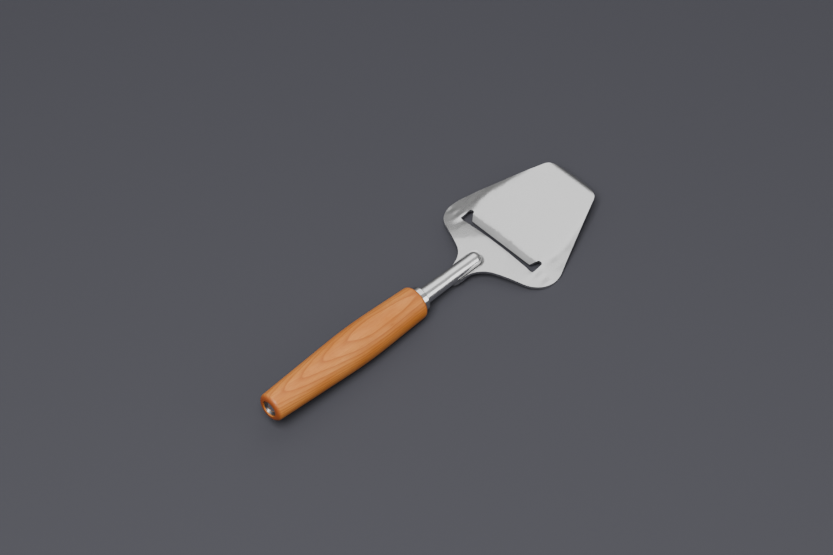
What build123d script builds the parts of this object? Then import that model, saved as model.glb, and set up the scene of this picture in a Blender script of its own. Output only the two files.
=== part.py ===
from build123d import *
import math
import os

# Cheese plane: a stamped steel head with a slot and a ground blade, welded onto a round stem
# whose tang runs through a turned wooden handle and is peened over a washer at the butt.
# It is worked out in the tool frame: the centre of the stem's round nose is the origin, X runs
# forward along the stem, Y to the left, Z up. At the end everything is turned to its rest pose.

# Stem and tang
STEM_NOSE_R = 4.45
STEM_ROOT_R = 4.95
STEM_LENGTH = 40.0
STEM_PARALLEL = 20.0
TANG_R = 3.0
TANG_END_R = 2.5
TANG_END_LENGTH = 9.0
TANG_FIT = 0.15
PEEN_R = 3.2
PEEN_HEIGHT = 0.7

# Ferrule
FERRULE_R = 7.2
FERRULE_LENGTH = 3.8
FERRULE_CHAMFER = 0.5
SPIGOT_R = 5.5
SPIGOT_DEPTH = 3.0
SPIGOT_FIT = 0.1

# Handle
HANDLE_LENGTH = 108.6
BELLY_R = 11.1
BELLY_FROM_BUTT = 66.4
BELLY_CURVE_R = 316.0
BUTT_SLOPE = 2.92
FRONT_SLOPE = 2.32
BUTT_ROUND = 2.5
FRONT_ROUND = 2.2

# Washer at the butt
WASHER_R = 4.7
WASHER_THICK = 2.6
WASHER_SUNK = 0.5
WASHER_FIT = 0.12
DISH_R = 3.8
DISH_DEPTH = 1.0
WASHER_EDGE = 0.35

# Head sheet
SHEET = 1.5
CRADLE_FIT = 0.05
ROLL_R = 2.4
CRADLE_MARGIN = 0.8
CRADLE_LAP = 0.4
SHEET_PROUD = 0.04
TONGUE_LENGTH = 18.5
TONGUE_HALF = 5.2
TONGUE_ROUND = 4.2
NECK_FILLET = 16.0
SHOULDER_X = 7.7
SHOULDER_Y = 29.0
SHOULDER_LEAN = 24.0
SHOULDER_FILLET = 17.0
SIDE_X = 69.0
SIDE_Y = 21.7
SIDE_TAPER = 23.3
FOLD_X = 78.0
LIP_LENGTH = 4.2
LIP_SLOPE = 33.0
LIP_BEND = 0.8
CORNER_X = 77.4
CORNER_FILLET = 6.5

# Slot and blade
EDGE_X = 21.5
EDGE_HALF = 24.6
SLOT_GAP = 3.7
SLOT_HALF = 28.0
NOTCH_AHEAD = 4.5
NOTCH_WIDTH = 3.2
NOTCH_ROUND = 1.3
BLADE_CORNER = 3.0
BLADE_CORNER_Y = 2.4
EDGE_LAND = 0.1
SLOT_CORNER = 0.7
PLATE_RISE = 9.0
PLATE_DROP = 0.9
DIE_ROLL = 0.8
EDGE_CURL = 0.7
CURL_LENGTH = 5.5
BEVEL_LENGTH = 2.2

# Side wings
WING_START_Y = 28.4
WING_START_X = 40.0
WING_CONVERGE = 0.2
WING_SLOPE = 0.34
WING_BEND = 1.6
CREASE_X = 16.5
CREASE_Y = 8.5
CREASE_TURN = 54.0
SHOULDER_SLOPE = 0.1
SECOND_CREASE_X = 11.5
SECOND_CREASE_Y = 23.5
SECOND_TURN = 77.5
SECOND_SLOPE = 0.1
CREASE_BEND = 1.5
STRIP_BEND = 1.5
OUTSIDE_START = 0.5
OUTSIDE_END = 1.0
OUTSIDE_BACK = 12.0
OUTSIDE_FRONT = 12.0

# How far a cut runs past what it cuts, and how near two places count as one
CUT_PAST = 1.0
NEAR = 0.01

# How the rest pose is searched for
TILT_LIMIT = 8.0
TILT_HALVINGS = 12

# How finely the pressed surface is sampled
STEP_X = 2.5
STEP_Y = 2.6
REACH_BACK = -22.0
REACH_FRONT = 86.0
REACH_SIDE = 46.2


def ramp(distance, bend):
    """Nothing before a bend, a straight slope after it, and a smooth curve of the given reach."""
    if distance <= -bend:
        return 0.0
    if distance >= bend:
        return distance
    return (distance + bend) ** 2 / (4 * bend)


def ease(value, low, high):
    """Goes smoothly from 0 at low to 1 at high."""
    t = min(max((value - low) / (high - low), 0.0), 1.0)
    return t * t * (3 - 2 * t)


def past_line(across, along, turn):
    """How far a place lies past a crease, measured square to it; turn is the square's heading."""
    heading = math.radians(turn)
    return across * math.cos(heading) + along * math.sin(heading)


def sheet_height(x, y):
    """Height of the head's upper face: a level neck, a rising plate, and wings pressed down."""
    side = abs(y)
    outside = ease(side, EDGE_HALF + OUTSIDE_START, SLOT_HALF + OUTSIDE_END)

    first = past_line(x - CREASE_X, side - CREASE_Y, CREASE_TURN)
    second = past_line(x - SECOND_CREASE_X, side - SECOND_CREASE_Y, SECOND_TURN)
    neck = -SHOULDER_SLOPE * ramp(first, CREASE_BEND) - SECOND_SLOPE * ramp(second, CREASE_BEND)

    ahead = x - EDGE_X
    plate = -PLATE_DROP + ahead * math.tan(math.radians(PLATE_RISE))
    curl = EDGE_CURL * max(0.0, 1 - max(ahead, 0.0) / CURL_LENGTH) ** 2
    strip = ramp(plate, STRIP_BEND)
    wing_start = WING_START_Y - WING_CONVERGE * max(0.0, x - WING_START_X)
    wing = WING_SLOPE * ramp(side - wing_start, WING_BEND)
    lip = math.tan(math.radians(LIP_SLOPE)) * ramp(x - FOLD_X, LIP_BEND)
    front = (1 - outside) * (plate - curl) + outside * strip - wing - lip

    gap_back = EDGE_X - SLOT_GAP
    start = gap_back - DIE_ROLL - OUTSIDE_BACK * outside
    end = EDGE_X + BEVEL_LENGTH + OUTSIDE_FRONT * outside
    share = ease(x, start, end)
    return (1 - share) * neck + share * front


def pressed_sheet():
    """The pressed sheet before it is trimmed, a hair thicker than the cradle's rim on both faces."""
    count_x = round((REACH_FRONT - REACH_BACK) / STEP_X) + 1
    count_y = round(2 * REACH_SIDE / STEP_Y) + 1
    rows = []
    for i in range(count_x):
        x = REACH_BACK + i * (REACH_FRONT - REACH_BACK) / (count_x - 1)
        row = []
        for j in range(count_y):
            y = -REACH_SIDE + j * 2 * REACH_SIDE / (count_y - 1)
            row.append(Vector(x, y, sheet_height(x, y) + SHEET_PROUD))
        rows.append(row)
    upper = Face.make_surface_from_array_of_points(rows)
    return Solid.thicken(upper, -(SHEET + 2 * SHEET_PROUD))


def head_outline():
    """The head's outline seen from above: tongue, neck, shoulders, tapering sides, bowed front."""
    lean = math.tan(math.radians(SHOULDER_LEAN))
    taper = math.tan(math.radians(SIDE_TAPER))
    neck_corner_x = SHOULDER_X - (SHOULDER_Y - TONGUE_HALF) * lean
    shoulder_corner_x = (SIDE_Y - SHOULDER_Y + SHOULDER_X / lean + taper * SIDE_X) / (1 / lean + taper)
    shoulder_corner_y = SIDE_Y - (shoulder_corner_x - SIDE_X) * taper
    front_corner_y = SIDE_Y - (CORNER_X - SIDE_X) * taper

    left = FilletPolyline(
        (-TONGUE_LENGTH, 0),
        (-TONGUE_LENGTH, TONGUE_HALF),
        (neck_corner_x, TONGUE_HALF),
        (shoulder_corner_x, shoulder_corner_y),
        (CORNER_X, front_corner_y),
        radius=[TONGUE_ROUND, NECK_FILLET, SHOULDER_FILLET],
    )
    right = mirror(left, Plane.XZ)
    front = ThreePointArc(
        (CORNER_X, front_corner_y), (FOLD_X + LIP_LENGTH, 0), (CORNER_X, -front_corner_y)
    )
    outline = make_face(left.edges() + front.edges() + right.edges())
    corners = outline.vertices().filter_by(lambda v: abs(v.X - CORNER_X) < NEAR)
    return fillet(corners, CORNER_FILLET)


def slot_outline():
    """The slot seen from above, with the relief notch that frees each end of the blade."""
    back = EDGE_X - SLOT_GAP
    notch_end = EDGE_X + NOTCH_AHEAD
    half = FilletPolyline(
        (back, 0),
        (back, SLOT_HALF),
        (notch_end, SLOT_HALF),
        (notch_end, SLOT_HALF - NOTCH_WIDTH),
        (EDGE_X + BLADE_CORNER, EDGE_HALF),
        (EDGE_X, EDGE_HALF - BLADE_CORNER_Y),
        (EDGE_X, 0),
        radius=[SLOT_CORNER, NOTCH_ROUND, NOTCH_ROUND, SLOT_CORNER, SLOT_CORNER],
    )
    return make_face(half.edges() + mirror(half, Plane.XZ).edges())


def cradle_profile():
    """Half the cradle's section: a round bed for the stem, rolled over into the level neck."""
    bed = STEM_NOSE_R + CRADLE_FIT
    flat = math.sqrt(bed ** 2 + 2 * bed * ROLL_R)
    rim = flat + CRADLE_MARGIN
    meet = math.atan2(-ROLL_R, flat)
    roll = ROLL_R - SHEET

    def on_bed(radius, angle):
        return radius * math.cos(angle), radius * math.sin(angle)

    def on_roll(radius, angle):
        return flat + radius * math.cos(angle), -ROLL_R + radius * math.sin(angle)

    middle = (meet - math.pi / 2) / 2
    roll_middle = (meet + math.pi + math.pi / 2) / 2
    thick = bed + SHEET
    upper_bed = ThreePointArc((0, -bed), on_bed(bed, middle), on_bed(bed, meet))
    upper_roll = ThreePointArc(on_bed(bed, meet), on_roll(ROLL_R, roll_middle), (flat, 0))
    lower_bed = ThreePointArc((0, -thick), on_bed(thick, middle), on_bed(thick, meet))
    lower_roll = ThreePointArc(on_bed(thick, meet), on_roll(roll, roll_middle), (flat, -SHEET))
    ends = Polyline((flat, 0), (rim, 0), (rim, -SHEET), (flat, -SHEET))
    centre = Line((0, -bed), (0, -thick))
    edges = upper_bed.edges() + upper_roll.edges() + ends.edges()
    edges = edges + lower_roll.edges() + lower_bed.edges() + centre.edges()
    return make_face(edges), rim


def cradle():
    """The stamped cradle: a half round trough closed by a quarter of a bowl at the nose."""
    profile, rim = cradle_profile()
    bowl = revolve(Plane.XZ * profile, Axis.Z, 360)
    front_half = Pos(rim, 0, 0) * Box(2 * rim, 4 * rim, 4 * rim)
    section = Plane.YZ * profile
    side = extrude(section, -(TONGUE_LENGTH + CUT_PAST))
    trough = side + mirror(side, Plane.XZ)
    opening = rim - CRADLE_LAP
    hole = Pos(-TONGUE_LENGTH, 0, 0) * Box(2 * TONGUE_LENGTH, 2 * opening, 4 * rim)
    hole = hole + Cylinder(opening, 4 * rim)
    return (bowl & front_half) + trough, hole


def bevel_cutter():
    """The wedge that grinding takes off the blade's upper face."""
    heel = sheet_height(EDGE_X + BEVEL_LENGTH, 0) + SHEET_PROUD
    edge = sheet_height(EDGE_X, 0) - SHEET - SHEET_PROUD + EDGE_LAND
    slope = (heel - edge) / BEVEL_LENGTH
    back = EDGE_X - SLOT_GAP / 2
    front = EDGE_X + BEVEL_LENGTH + CUT_PAST
    lift = CUT_PAST * slope
    wedge = Polyline(
        (back, edge - slope * SLOT_GAP / 2),
        (front, heel + lift),
        (front, heel + lift + SHEET),
        (back, heel + lift + SHEET),
        close=True,
    )
    section = Plane.XZ * make_face(wedge)
    return extrude(section, EDGE_HALF + SLOT_CORNER, both=True)


def make_head():
    """The stamped head: pressed sheet, cradle, outline, slot and ground blade."""
    bed, hole = cradle()
    blank = (pressed_sheet() - hole) + bed
    trim = extrude(head_outline(), REACH_SIDE, both=True)
    slot = extrude(slot_outline(), REACH_SIDE, both=True)
    return (blank & trim) - slot - bevel_cutter()


def make_stem():
    """The stem turned in one with its tang, peened at the far end."""
    root = -STEM_LENGTH
    end = root - FERRULE_LENGTH - HANDLE_LENGTH + WASHER_SUNK + DISH_DEPTH
    profile = Polyline(
        (0, STEM_NOSE_R),
        (-STEM_PARALLEL, STEM_NOSE_R),
        (root, STEM_ROOT_R),
        (root, TANG_R),
        (end + TANG_END_LENGTH, TANG_R),
        (end + TANG_END_LENGTH, TANG_END_R),
        (end, TANG_END_R),
        (end, PEEN_R),
    )
    dome_r = (PEEN_R ** 2 + PEEN_HEIGHT ** 2) / (2 * PEEN_HEIGHT)
    dome_x = end - PEEN_HEIGHT + dome_r
    dome_half = math.asin(PEEN_R / dome_r) / 2
    dome_middle = (dome_x - dome_r * math.cos(dome_half), dome_r * math.sin(dome_half))
    peen = ThreePointArc((end, PEEN_R), dome_middle, (end - PEEN_HEIGHT, 0))
    nose = ThreePointArc(
        (0, STEM_NOSE_R),
        (STEM_NOSE_R * math.sqrt(0.5), STEM_NOSE_R * math.sqrt(0.5)),
        (STEM_NOSE_R, 0),
    )
    centre = Line((STEM_NOSE_R, 0), (end - PEEN_HEIGHT, 0))
    section = make_face(profile.edges() + peen.edges() + centre.edges() + nose.edges())
    return revolve(Plane.XZ * section, Axis.X, 360)


def ring(*points):
    """A turned ring: a closed outline of (x, radius) points taken round the stem's line."""
    return revolve(Plane.XZ * make_face(Polyline(*points, close=True)), Axis.X, 360)


def bore_cutter(back, front, radius):
    """A round bar on the stem's line that cuts a bore."""
    return ring((back, 0), (front, 0), (front, radius), (back, radius))


def make_ferrule():
    """The ferrule: a steel ring with a spigot let into the front of the handle."""
    front = -STEM_LENGTH
    back = front - FERRULE_LENGTH
    bore = TANG_R + TANG_FIT
    body = ring(
        (front, bore),
        (front, FERRULE_R),
        (back, FERRULE_R),
        (back, SPIGOT_R),
        (back - SPIGOT_DEPTH, SPIGOT_R),
        (back - SPIGOT_DEPTH, bore),
    )
    at_front = body.edges().filter_by(lambda e: abs(e.center().X - front) < NEAR)
    rim = at_front.filter_by(GeomType.CIRCLE).sort_by(SortBy.RADIUS)[-1]
    return chamfer(rim, FERRULE_CHAMFER)


def make_handle():
    """The handle: straight tapers either side of a belly arc, bored for the tang."""
    front = -STEM_LENGTH - FERRULE_LENGTH
    butt = front - HANDLE_LENGTH
    belly = butt + BELLY_FROM_BUTT
    rear = math.radians(BUTT_SLOPE)
    fore = math.radians(FRONT_SLOPE)
    centre_r = BELLY_R - BELLY_CURVE_R
    rear_meet = (belly - BELLY_CURVE_R * math.sin(rear), centre_r + BELLY_CURVE_R * math.cos(rear))
    fore_meet = (belly + BELLY_CURVE_R * math.sin(fore), centre_r + BELLY_CURVE_R * math.cos(fore))
    butt_r = rear_meet[1] - (rear_meet[0] - butt) * math.tan(rear)
    front_r = fore_meet[1] - (front - fore_meet[0]) * math.tan(fore)
    barrel_back = Polyline((butt, 0), (butt, butt_r), rear_meet)
    barrel_arc = ThreePointArc(rear_meet, (belly, BELLY_R), fore_meet)
    barrel_front = Polyline(fore_meet, (front, front_r), (front, 0))
    centre = Line((front, 0), (butt, 0))
    edges = barrel_back.edges() + barrel_arc.edges() + barrel_front.edges() + centre.edges()
    section = make_face(edges)
    barrel = revolve(Plane.XZ * section, Axis.X, 360)
    butt_edge = barrel.edges().filter_by(lambda e: abs(e.center().X - butt) < NEAR)
    barrel = fillet(butt_edge.filter_by(GeomType.CIRCLE), BUTT_ROUND)
    front_edge = barrel.edges().filter_by(lambda e: abs(e.center().X - front) < NEAR)
    barrel = fillet(front_edge.filter_by(GeomType.CIRCLE), FRONT_ROUND)
    ahead = front + CUT_PAST
    behind = butt - CUT_PAST
    tang_bore = bore_cutter(behind, ahead, TANG_R + TANG_FIT)
    spigot_bore = bore_cutter(front - SPIGOT_DEPTH - SPIGOT_FIT, ahead, SPIGOT_R + SPIGOT_FIT)
    washer_bore = bore_cutter(behind, butt + WASHER_SUNK + WASHER_THICK, WASHER_R + WASHER_FIT)
    return barrel - tang_bore - spigot_bore - washer_bore


def make_washer():
    """The dished washer let into the butt, under the peened end of the tang."""
    butt = -STEM_LENGTH - FERRULE_LENGTH - HANDLE_LENGTH
    outer = butt + WASHER_SUNK
    inner = outer + WASHER_THICK
    return ring(
        (inner, TANG_END_R),
        (inner, WASHER_R),
        (outer + WASHER_EDGE, WASHER_R),
        (outer, WASHER_R - WASHER_EDGE),
        (outer, DISH_R + WASHER_EDGE),
        (outer + DISH_DEPTH, DISH_R - WASHER_EDGE),
        (outer + DISH_DEPTH, TANG_END_R),
    )


def rest_tilt(head, handle):
    """The angle that brings the wings and the belly of the handle down onto one floor."""
    low, high = 0.0, TILT_LIMIT
    for _ in range(TILT_HALVINGS):
        middle = (low + high) / 2
        head_low = head.rotate(Axis.Y, middle).bounding_box().min.Z
        handle_low = handle.rotate(Axis.Y, middle).bounding_box().min.Z
        if head_low > handle_low:
            low = middle
        else:
            high = middle
    return (low + high) / 2


def main():
    os.makedirs("parts", exist_ok=True)
    pieces = {
        "plane_head": make_head(),
        "stem": make_stem(),
        "ferrule": make_ferrule(),
        "handle": make_handle(),
        "butt_washer": make_washer(),
    }
    tilt = rest_tilt(pieces["plane_head"], pieces["handle"])
    turned = {name: piece.rotate(Axis.Y, tilt) for name, piece in pieces.items()}
    boxes = [piece.bounding_box() for piece in turned.values()]
    front = max(box.max.X for box in boxes)
    back = min(box.min.X for box in boxes)
    floor = min(box.min.Z for box in boxes)
    home = Pos(-(front + back) / 2, 0, -floor)
    for name, piece in turned.items():
        export_step(home * piece, f"parts/{name}.step")
    print(f"rest tilt {tilt:.3f} degrees, length {front - back:.2f}")


main()
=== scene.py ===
# %% [markdown]
# # Cheese plane
# A cheese plane is pushed or pulled over a block of cheese, and its slot takes off one thin slice.
# It has five separate pieces: a stamped steel head, a round stem with a tang, a ferrule, a turned
# wooden handle and a small washer at the butt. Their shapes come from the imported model, which
# stays as it is. This lesson gives them smooth shading, light and finishes.

# %% Load the frame
import math

import bpy
import numpy as np
from mathutils import Matrix, Vector


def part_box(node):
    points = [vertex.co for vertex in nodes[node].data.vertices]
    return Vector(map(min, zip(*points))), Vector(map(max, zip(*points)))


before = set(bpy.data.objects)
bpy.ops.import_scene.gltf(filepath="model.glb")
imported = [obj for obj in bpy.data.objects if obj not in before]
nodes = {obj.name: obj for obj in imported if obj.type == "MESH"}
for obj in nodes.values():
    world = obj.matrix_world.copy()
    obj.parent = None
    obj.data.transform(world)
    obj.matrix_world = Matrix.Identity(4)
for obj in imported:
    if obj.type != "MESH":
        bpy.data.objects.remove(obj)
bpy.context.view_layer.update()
MM = 0.001

# %% [markdown]
# ## Camera
# A product camera stands well back with a long lens, so that the tool keeps its proportions. The
# camera is given as a photographer would say it: the side it looks from, how high it stands, how
# far it leans, and the point that it aims at.

# %% Camera
VIEW_AZIMUTH = -42.7
VIEW_ELEVATION = 51.08
VIEW_LEAN = 2.19
VIEW_DISTANCE = 1.667
VIEW_AIM = Vector((13.2, 23.0, -9.1)) * MM
LENS = 130.0
SENSOR_WIDTH = 36.0
FARTHEST = 20.0


def camera_axes(azimuth, elevation, lean):
    """A camera's right, up and back: level right, the up square to it, then both leaned over."""
    a, e, r = (math.radians(angle) for angle in (azimuth, elevation, lean))
    back = Vector((math.sin(a) * math.cos(e), -math.cos(a) * math.cos(e), math.sin(e)))
    level = Vector((math.cos(a), math.sin(a), 0.0))
    upright = back.cross(level)
    right = level * math.cos(r) - upright * math.sin(r)
    return right, back.cross(right), back


camera_data = bpy.data.cameras.new("product_camera")
camera_data.lens = LENS
camera_data.sensor_width = SENSOR_WIDTH
camera_data.clip_end = FARTHEST
camera = bpy.data.objects.new("product_camera", camera_data)
bpy.context.scene.collection.objects.link(camera)
right, up, back = camera_axes(VIEW_AZIMUTH, VIEW_ELEVATION, VIEW_LEAN)
turn = Matrix((right, up, back)).transposed().to_4x4()
camera.matrix_world = Matrix.Translation(VIEW_AIM + back * VIEW_DISTANCE) @ turn
bpy.context.scene.camera = camera
print("the camera looks from", [round(value, 3) for value in back])

# %% [markdown]
# ## Floor and light
# Polished steel shows the room more than itself, so the light is what shapes it. A broad soft
# panel fills what the flat plate reflects, a key lamp overhead lights the wood, and a low panel on
# the near side adds light to the round pieces from there. The world fades from pale overhead to
# dark at the horizon, which draws the edges of the steel. The floor is a plain dark sheet, so that
# the slot and the outline stand out.

# %% Floor
FLOOR_HALF = 3.0
FLOOR_COLOUR = (0.040, 0.040, 0.047, 1.0)
FLOOR_ROUGHNESS = 0.9
FLOOR_SHINE = 0.1
FLOOR_CUTS = 3


def grid_mesh(name, across, along, place):
    """A mesh from a grid of (u, v): place(u, v) gives the points, and neighbours make the quads."""
    u, v = np.meshgrid(across, along, indexing="ij")
    points = np.stack(place(u, v), axis=-1).reshape(-1, 3)
    index = np.arange(u.size).reshape(u.shape)
    corners = [index[:-1, :-1], index[1:, :-1], index[1:, 1:], index[:-1, 1:]]
    quads = np.stack(corners, axis=-1).reshape(-1, 4)
    mesh = bpy.data.meshes.new(name)
    mesh.from_pydata(points.tolist(), [], quads.tolist())
    mesh.update()
    return mesh


edge = np.linspace(-FLOOR_HALF, FLOOR_HALF, FLOOR_CUTS)
floor_mesh = grid_mesh("floor", edge, edge, lambda u, v: (u, v, 0.0 * u))
floor = bpy.data.objects.new("floor", floor_mesh)
bpy.context.scene.collection.objects.link(floor)


def new_material(name):
    """A new node material, with its node tree and its Principled shader."""
    material = bpy.data.materials.new(name)
    material.use_nodes = True
    tree = material.node_tree
    return material, tree, tree.nodes["Principled BSDF"]


floor_material, _, floor_shader = new_material("floor_sheet")
floor_shader.inputs["Base Color"].default_value = FLOOR_COLOUR
floor_shader.inputs["Roughness"].default_value = FLOOR_ROUGHNESS
floor_shader.inputs["Specular IOR Level"].default_value = FLOOR_SHINE
floor_mesh.materials.append(floor_material)
print("the floor is", 2 * FLOOR_HALF, "m wide and dark grey")

# %% World
SKY_STOPS = [(0.0, 0.05), (0.2, 0.16), (0.42, 0.34), (0.68, 0.48), (1.0, 0.55)]
SKY_LEVEL = 1.0
SKY_SEEN = (1.0, 1.0, 1.0, 1.0)  # what the camera itself sees above the horizon

world = bpy.data.worlds.new("light_tent")
bpy.context.scene.world = world
world.use_nodes = True
sky = world.node_tree
sky_background = sky.nodes["Background"]
sky_coordinates = sky.nodes.new("ShaderNodeTexCoord")
sky_split = sky.nodes.new("ShaderNodeSeparateXYZ")
sky_ramp = sky.nodes.new("ShaderNodeValToRGB")
sky_path = sky.nodes.new("ShaderNodeLightPath")
sky_mix = sky.nodes.new("ShaderNodeMix")
sky_mix.data_type = "RGBA"


def set_stops(ramp_node, stops):
    """Puts (position, grey) stops into a colour ramp."""
    ramp = ramp_node.color_ramp
    while len(ramp.elements) < len(stops):
        ramp.elements.new(1.0)
    for element, (position, grey) in zip(ramp.elements, stops):
        element.position = position
        element.color = (grey, grey, grey, 1.0)


set_stops(sky_ramp, SKY_STOPS)
sky.links.new(sky_coordinates.outputs["Generated"], sky_split.inputs["Vector"])
sky.links.new(sky_split.outputs["Z"], sky_ramp.inputs["Fac"])
sky.links.new(sky_ramp.outputs["Color"], sky_mix.inputs["A"])
sky_mix.inputs["B"].default_value = SKY_SEEN
sky.links.new(sky_path.outputs["Is Camera Ray"], sky_mix.inputs["Factor"])
sky.links.new(sky_mix.outputs["Result"], sky_background.inputs["Color"])
sky_background.inputs["Strength"].default_value = SKY_LEVEL
print("the sky goes from", SKY_STOPS[0][1], "at the horizon to", SKY_STOPS[-1][1], "overhead")


# %% Lamps
def soft_lamp(name, place, width, height, power):
    """A rectangular lamp at a place, turned to face the tool."""
    data = bpy.data.lights.new(name, "AREA")
    data.shape = "RECTANGLE"
    data.size = width
    data.size_y = height
    data.energy = power
    lamp = bpy.data.objects.new(name, data)
    lamp.location = place
    lamp.rotation_mode = "QUATERNION"
    lamp.rotation_quaternion = (-Vector(place)).to_track_quat("-Z", "Y")
    bpy.context.scene.collection.objects.link(lamp)


LAMPS = [
    # name, place, width, height, power
    ("overhead_panel", (0.60, 0.33, 1.15), 1.1, 1.1, 5.0),
    ("key_lamp", (-0.6, -0.35, 1.3), 0.8, 0.8, 42.0),
    ("near_panel", (0.62, -1.15, 0.52), 0.5, 0.9, 4.4),
]

for lamp_name, place, width, height, power in LAMPS:
    soft_lamp(lamp_name, place, width, height, power)
    print(lamp_name, "has", power, "W")

# %% [markdown]
# ## Smooth shading
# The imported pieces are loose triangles. Welding their corners and splitting only the sharp edges
# again makes curved surfaces shade smoothly, while the sheet's cut edges stay crisp.

# %% Smooth the pieces
WELD_DISTANCE = 0.002 * MM
SHARP_ANGLE = math.radians(28)
EVEN_WEIGHT = 50

for name, piece in nodes.items():
    faces = len(piece.data.polygons)
    piece.data.polygons.foreach_set("use_smooth", np.ones(faces, dtype=bool))
    weld = piece.modifiers.new("weld", "WELD")
    weld.merge_threshold = WELD_DISTANCE
    split = piece.modifiers.new("crisp_edges", "EDGE_SPLIT")
    split.split_angle = SHARP_ANGLE
    split.use_edge_sharp = False
    weighted = piece.modifiers.new("even_shading", "WEIGHTED_NORMAL")
    weighted.mode = "FACE_AREA"
    weighted.weight = EVEN_WEIGHT
    print(name, "has", faces, "triangles")

# %% [markdown]
# ## Shared effects
# Three effects come back in several finishes: a pattern that is stretched along the tool, a faint
# cloudiness such as handled steel has, and a painted highlight that lightens the colour along
# every edge. Each is a node group with named inputs, built once and placed in every finish with
# values of its own.

# %% Helpers for node groups
def box_middle(piece):
    """The middle of a piece's box."""
    near_corner, far_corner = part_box(piece)
    return (near_corner + far_corner) / 2


TOOL_LINE = box_middle("ferrule") - box_middle("butt_washer")
TOOL_TILT = math.atan2(TOOL_LINE.z, TOOL_LINE.x)
print("the handle leans", round(math.degrees(TOOL_TILT), 2), "degrees")


def new_group(name, inputs, outputs):
    """A shader node group with float or vector sockets, and its input and output nodes."""
    group = bpy.data.node_groups.new(name, "ShaderNodeTree")
    for label, kind, value in inputs:
        socket = group.interface.new_socket(name=label, in_out="INPUT", socket_type=kind)
        if value is not None:
            socket.default_value = value
    for label, kind in outputs:
        group.interface.new_socket(name=label, in_out="OUTPUT", socket_type=kind)
    start = group.nodes.new("NodeGroupInput")
    end = group.nodes.new("NodeGroupOutput")
    return group, start, end


def math_node(tree, operation, first, second=None, third=None):
    """One Math node whose inputs are sockets or numbers; gives its output socket."""
    node = tree.nodes.new("ShaderNodeMath")
    node.operation = operation
    for socket, value in zip(node.inputs, (first, second, third)):
        if value is None:
            continue
        if isinstance(value, (int, float)):
            socket.default_value = value
        else:
            tree.links.new(value, socket)
    return node.outputs["Value"]


def stretched(tree, vector, scale):
    """The vector times a scale for each axis."""
    node = tree.nodes.new("ShaderNodeVectorMath")
    node.operation = "MULTIPLY"
    tree.links.new(vector, node.inputs[0])
    node.inputs[1].default_value = scale
    return node.outputs["Vector"]


def noise(tree, vector, detail=3.0, rough=0.5):
    """A noise texture's value on a vector that is already scaled."""
    node = tree.nodes.new("ShaderNodeTexNoise")
    node.inputs["Scale"].default_value = 1.0
    node.inputs["Detail"].default_value = detail
    node.inputs["Roughness"].default_value = rough
    tree.links.new(vector, node.inputs["Vector"])
    return node.outputs["Fac"]


def spread(tree, value, low, high, out_low=0.0, out_high=1.0):
    """Maps a value from one range to another, clamped."""
    node = tree.nodes.new("ShaderNodeMapRange")
    node.inputs["From Min"].default_value = low
    node.inputs["From Max"].default_value = high
    node.inputs["To Min"].default_value = out_low
    node.inputs["To Max"].default_value = out_high
    tree.links.new(value, node.inputs["Value"])
    return node.outputs["Result"]


def mixed(tree, factor, first, second):
    """A colour mix; factor is a socket, the colours are sockets or (r, g, b)."""
    node = tree.nodes.new("ShaderNodeMix")
    node.data_type = "RGBA"
    tree.links.new(factor, node.inputs["Factor"])
    for label, value in (("A", first), ("B", second)):
        if isinstance(value, tuple):
            node.inputs[label].default_value = (*value, 1.0)
        else:
            tree.links.new(value, node.inputs[label])
    return node.outputs["Result"]


def add_relief(tree, shader, height, depth):
    """Bump on a shader: where the height goes from 0 to 1, the surface rises by the depth."""
    bump = tree.nodes.new("ShaderNodeBump")
    bump.inputs["Strength"].default_value = 1.0
    bump.inputs["Distance"].default_value = depth
    tree.links.new(height, bump.inputs["Height"])
    tree.links.new(bump.outputs["Normal"], shader.inputs["Normal"])


def tool_coordinates(tree, centre):
    """Object coordinates turned so that X runs along the stem, with their zero at the centre."""
    coordinates = tree.nodes.new("ShaderNodeTexCoord")
    mapping = tree.nodes.new("ShaderNodeMapping")
    mapping.vector_type = "TEXTURE"
    mapping.inputs["Location"].default_value = centre
    mapping.inputs["Rotation"].default_value = (0.0, -TOOL_TILT, 0.0)
    tree.links.new(coordinates.outputs["Object"], mapping.inputs["Vector"])
    return mapping.outputs["Vector"]


# %% Cloudiness group
cloud, cloud_in, cloud_out = new_group(
    "steel_cloud",
    [("Vector", "NodeSocketVector", None), ("Size", "NodeSocketFloat", 90.0)],
    [("Cloud", "NodeSocketFloat")],
)
CLOUD_DETAIL = 5.0
CLOUD_ROUGH = 0.62
CLOUD_LOW = 0.2
CLOUD_HIGH = 0.8

cloud_noise = cloud.nodes.new("ShaderNodeTexNoise")
cloud_noise.inputs["Detail"].default_value = CLOUD_DETAIL
cloud_noise.inputs["Roughness"].default_value = CLOUD_ROUGH
cloud.links.new(cloud_in.outputs["Vector"], cloud_noise.inputs["Vector"])
cloud.links.new(cloud_in.outputs["Size"], cloud_noise.inputs["Scale"])
cloud_value = spread(cloud, cloud_noise.outputs["Fac"], CLOUD_LOW, CLOUD_HIGH)
cloud.links.new(cloud_value, cloud_out.inputs["Cloud"])
print("made", cloud.name, "with", len(cloud.nodes), "nodes")

# %% Fine lines group
COARSE_LINES = (40.0, 1400.0, 1400.0)
THIN_LINES = (90.0, 3600.0, 3600.0)
LINES_LOW = 0.6
LINES_HIGH = 1.4

lines, lines_in, lines_out = new_group(
    "fine_lines",
    [("Vector", "NodeSocketVector", None)],
    [("Lines", "NodeSocketFloat")],
)
lines_place = lines_in.outputs["Vector"]
lines_coarse = noise(lines, stretched(lines, lines_place, COARSE_LINES))
lines_fine = noise(lines, stretched(lines, lines_place, THIN_LINES))
lines_sum = math_node(lines, "ADD", lines_coarse, lines_fine)
lines.links.new(spread(lines, lines_sum, LINES_LOW, LINES_HIGH), lines_out.inputs["Lines"])
print("made", lines.name, "with", len(lines.nodes), "nodes")
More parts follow.
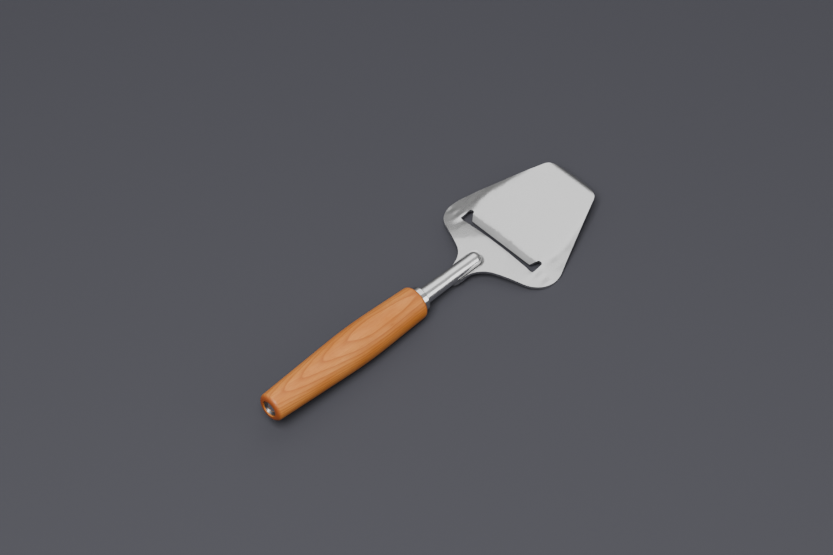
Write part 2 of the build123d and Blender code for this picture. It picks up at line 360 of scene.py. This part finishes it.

# %% Painted edge highlight group
# The bevel finds the edges, and there the colour is lightened: a painted highlight along every
# edge.
HIGHLIGHT_REACH = 0.35 * MM
HIGHLIGHT_SAMPLES = 4
HIGHLIGHT_FLAT = 0.98
HIGHLIGHT_FULL = 0.82

edge_highlight_group, _, highlight_out = new_group("painted_edge_highlight", [], [("Highlight", "NodeSocketFloat")])
highlight_bevel = edge_highlight_group.nodes.new("ShaderNodeBevel")
highlight_bevel.samples = HIGHLIGHT_SAMPLES
highlight_bevel.inputs["Radius"].default_value = HIGHLIGHT_REACH
highlight_geometry = edge_highlight_group.nodes.new("ShaderNodeNewGeometry")
highlight_dot = edge_highlight_group.nodes.new("ShaderNodeVectorMath")
highlight_dot.operation = "DOT_PRODUCT"
edge_highlight_group.links.new(highlight_bevel.outputs["Normal"], highlight_dot.inputs[0])
edge_highlight_group.links.new(highlight_geometry.outputs["Normal"], highlight_dot.inputs[1])
highlight_value = spread(edge_highlight_group, highlight_dot.outputs["Value"], HIGHLIGHT_FLAT, HIGHLIGHT_FULL)
edge_highlight_group.links.new(highlight_value, highlight_out.inputs["Highlight"])
print("made", edge_highlight_group.name, "with", len(edge_highlight_group.nodes), "nodes")


def use_group(tree, group, **values):
    """Places a group in a tree; its inputs are given by name, as sockets or numbers."""
    node = tree.nodes.new("ShaderNodeGroup")
    node.node_tree = group
    for label, value in values.items():
        if isinstance(value, (int, float)):
            node.inputs[label].default_value = value
        else:
            tree.links.new(value, node.inputs[label])
    return node.outputs[0]


# %% [markdown]
# ## Stainless steel
# The head is stamped from stainless sheet with a fine satin face: nearly a mirror for large soft
# shapes, but blurred, and a little cloudy. The stem was turned and polished, the ferrule polished
# more. One function makes all of them, and each finish gets its own greys and its own gloss.

# %% Steel finishes
GRAIN_SHARE = 0.3
UNEVEN_TOP = 1.3


def steel(name, greys, gloss, cloud_size, line_depth, piece):
    """Steel between two greys, with roughness between two values and a fine grain of some depth."""
    material, tree, shader = new_material(name)
    place = tool_coordinates(tree, box_middle(piece))
    cloudiness = use_group(tree, cloud, Vector=place, Size=cloud_size)
    grain = use_group(tree, lines, Vector=place)
    painted_edge_highlight = use_group(tree, edge_highlight_group)
    # The third grey is a painted highlight, mixed into the colour along the edges.
    dark, light, edge_highlight_grey = ((grey, grey, grey) for grey in greys)
    body = mixed(tree, cloudiness, dark, light)
    tree.links.new(mixed(tree, painted_edge_highlight, body, edge_highlight_grey), shader.inputs["Base Color"])
    uneven = math_node(tree, "MULTIPLY_ADD", grain, GRAIN_SHARE, cloudiness)
    roughness = spread(tree, uneven, 0.0, UNEVEN_TOP, *gloss)
    tree.links.new(roughness, shader.inputs["Roughness"])
    shader.inputs["Metallic"].default_value = 1.0
    add_relief(tree, shader, grain, line_depth)
    return material


MICRON = 1e-6

STEELS = {
    # piece: name, (dark, light and painted edge highlight grey), (least and most roughness), cloud
    # size, line depth
    "plane_head": ("head_satin", (0.60, 0.62, 0.80), (0.24, 0.32), 70.0, 0.4),
    "stem": ("stem_satin", (0.70, 0.74, 0.82), (0.20, 0.28), 120.0, 0.6),
    "ferrule": ("ferrule_polish", (0.66, 0.70, 0.82), (0.10, 0.16), 160.0, 0.2),
    # The washer's dark and light greys are painted shade that keeps the steel disc dim, and its
    # edge grey is a painted highlight.
    "butt_washer": ("washer_satin_painted_shade", (0.20, 0.26, 0.60), (0.26, 0.40), 200.0, 0.8),
}

finishes = {}
for piece_name, (steel_name, greys, gloss, cloud_size, line_depth) in STEELS.items():
    finishes[piece_name] = steel(
        steel_name, greys, gloss, cloud_size, line_depth * MICRON, piece_name
    )
    print("made", steel_name)

# %% [markdown]
# ## Oiled fruit wood
# A turned handle cuts through the growth rings of the tree. Each ring is nearly a plane in so
# small a piece, so where the handle bulges the rings come out as long loops one inside another,
# and towards its sides as straight lines. The pattern is worked out in the same way: the distance
# from a heart that lies under the handle, cut into rings. Fine fibres run along it, and the end
# grain has drunk more oil and is darker.

# %% Growth rings group
RING_SPACING = 1.15 * MM
RING_WANDER = 2.2 * MM

rings, rings_in, rings_out = new_group(
    "growth_rings",
    [
        ("Vector", "NodeSocketVector", None),
        ("Spacing", "NodeSocketFloat", RING_SPACING),
        ("Wander", "NodeSocketFloat", RING_WANDER),
    ],
    [("Ring", "NodeSocketFloat")],
)
HEART_ACROSS = 7.0 * MM
HEART_BELOW = -36.0 * MM
HEART_LEAN = 0.022
SLOW_WAVES = (14.0, 55.0, 55.0)
SMALL_WAVES = (45.0, 160.0, 160.0)
SMALL_WANDER = 0.5 * MM
LATE_POWER = 3.5
LATE_CLOSES = 0.93
NOISE_MIDDLE = 0.5

ring_split = rings.nodes.new("ShaderNodeSeparateXYZ")
rings.links.new(rings_in.outputs["Vector"], ring_split.inputs["Vector"])
across = math_node(rings, "SUBTRACT", ring_split.outputs["Y"], HEART_ACROSS)
height = math_node(rings, "SUBTRACT", ring_split.outputs["Z"], HEART_BELOW)
lean = math_node(rings, "MULTIPLY", ring_split.outputs["X"], HEART_LEAN)
across_square = math_node(rings, "POWER", across, 2.0)
height_square = math_node(rings, "POWER", height, 2.0)
squares = math_node(rings, "ADD", across_square, height_square)
distance = math_node(rings, "ADD", math_node(rings, "SQRT", squares), lean)
slow_place = stretched(rings, rings_in.outputs["Vector"], SLOW_WAVES)
ripple_place = stretched(rings, rings_in.outputs["Vector"], SMALL_WAVES)
slow = noise(rings, slow_place, detail=2.0, rough=0.45)
ripple = noise(rings, ripple_place, detail=2.0)
slow_swing = math_node(rings, "SUBTRACT", slow, NOISE_MIDDLE)
ripple_swing = math_node(rings, "SUBTRACT", ripple, NOISE_MIDDLE)
wandering = math_node(rings, "MULTIPLY", slow_swing, rings_in.outputs["Wander"])
wavelet = math_node(rings, "MULTIPLY", ripple_swing, SMALL_WANDER)
total = math_node(rings, "ADD", math_node(rings, "ADD", distance, wandering), wavelet)
turns = math_node(rings, "DIVIDE", total, rings_in.outputs["Spacing"])
phase = math_node(rings, "FRACT", turns)
late = math_node(rings, "POWER", phase, LATE_POWER)
closing = spread(rings, phase, LATE_CLOSES, 1.0, 1.0, 0.0)
rings.links.new(math_node(rings, "MULTIPLY", late, closing), rings_out.inputs["Ring"])
print("made", rings.name, "with rings", round(RING_SPACING / MM, 2), "mm apart")

# %% Wood finish
WOOD_PALE = (0.48, 0.185, 0.040)
WOOD_WARM = (0.42, 0.140, 0.022)
WOOD_LATE = (0.21, 0.050, 0.007)
WOOD_END = (0.20, 0.040, 0.010)
PATCH_WAVES = (30.0, 90.0, 90.0)
PATCH_RANGE = (0.35, 0.65)
PORE_WAVES = (300.0, 4200.0, 4200.0)
PORE_RANGE = (0.60, 0.72)
END_RANGE = (0.25, 0.85)
RING_SHARE = 0.8
FIBRE_SHARE = 0.42
PORE_SHARE = 0.35
END_SHARE = 0.85
WOOD_ROUGHNESS = (0.38, 0.5)
WOOD_SHINE = 0.28
FIBRE_DEPTH = 0.02 * MM

wood, wood_tree, wood_shader = new_material("oiled_fruit_wood")
grain_place = tool_coordinates(wood_tree, box_middle("handle"))
ring_mask = use_group(wood_tree, rings, Vector=grain_place)
fibre = use_group(wood_tree, lines, Vector=grain_place)
patches = noise(wood_tree, stretched(wood_tree, grain_place, PATCH_WAVES))
pore_noise = noise(wood_tree, stretched(wood_tree, grain_place, PORE_WAVES), detail=1.0)
pores = spread(wood_tree, pore_noise, *PORE_RANGE)
facing = wood_tree.nodes.new("ShaderNodeNewGeometry")
along = wood_tree.nodes.new("ShaderNodeVectorMath")
along.operation = "DOT_PRODUCT"
along.inputs[1].default_value = TOOL_LINE.normalized()
wood_tree.links.new(facing.outputs["Normal"], along.inputs[0])
facing_end = math_node(wood_tree, "ABSOLUTE", along.outputs["Value"])
end_grain = spread(wood_tree, facing_end, *END_RANGE)

wood_colour = mixed(wood_tree, spread(wood_tree, patches, *PATCH_RANGE), WOOD_PALE, WOOD_WARM)
darker_layers = [
    (ring_mask, RING_SHARE, WOOD_LATE),
    (fibre, FIBRE_SHARE, WOOD_LATE),
    (pores, PORE_SHARE, WOOD_LATE),
    (end_grain, END_SHARE, WOOD_END),
]
for mask, share, layer_colour in darker_layers:
    amount = math_node(wood_tree, "MULTIPLY", mask, share)
    wood_colour = mixed(wood_tree, amount, wood_colour, layer_colour)
wood_tree.links.new(wood_colour, wood_shader.inputs["Base Color"])

wood_roughness = spread(wood_tree, fibre, 0.0, 1.0, *WOOD_ROUGHNESS)
wood_tree.links.new(wood_roughness, wood_shader.inputs["Roughness"])
wood_shader.inputs["Specular IOR Level"].default_value = WOOD_SHINE
wood_height = math_node(wood_tree, "SUBTRACT", fibre, pores)
add_relief(wood_tree, wood_shader, wood_height, FIBRE_DEPTH)
finishes["handle"] = wood
print("made", wood.name, "with", len(darker_layers), "darker layers")

# %% Put the finishes on
for name, material in finishes.items():
    nodes[name].data.materials.clear()
    nodes[name].data.materials.append(material)
    print(name, "is finished as", material.name)
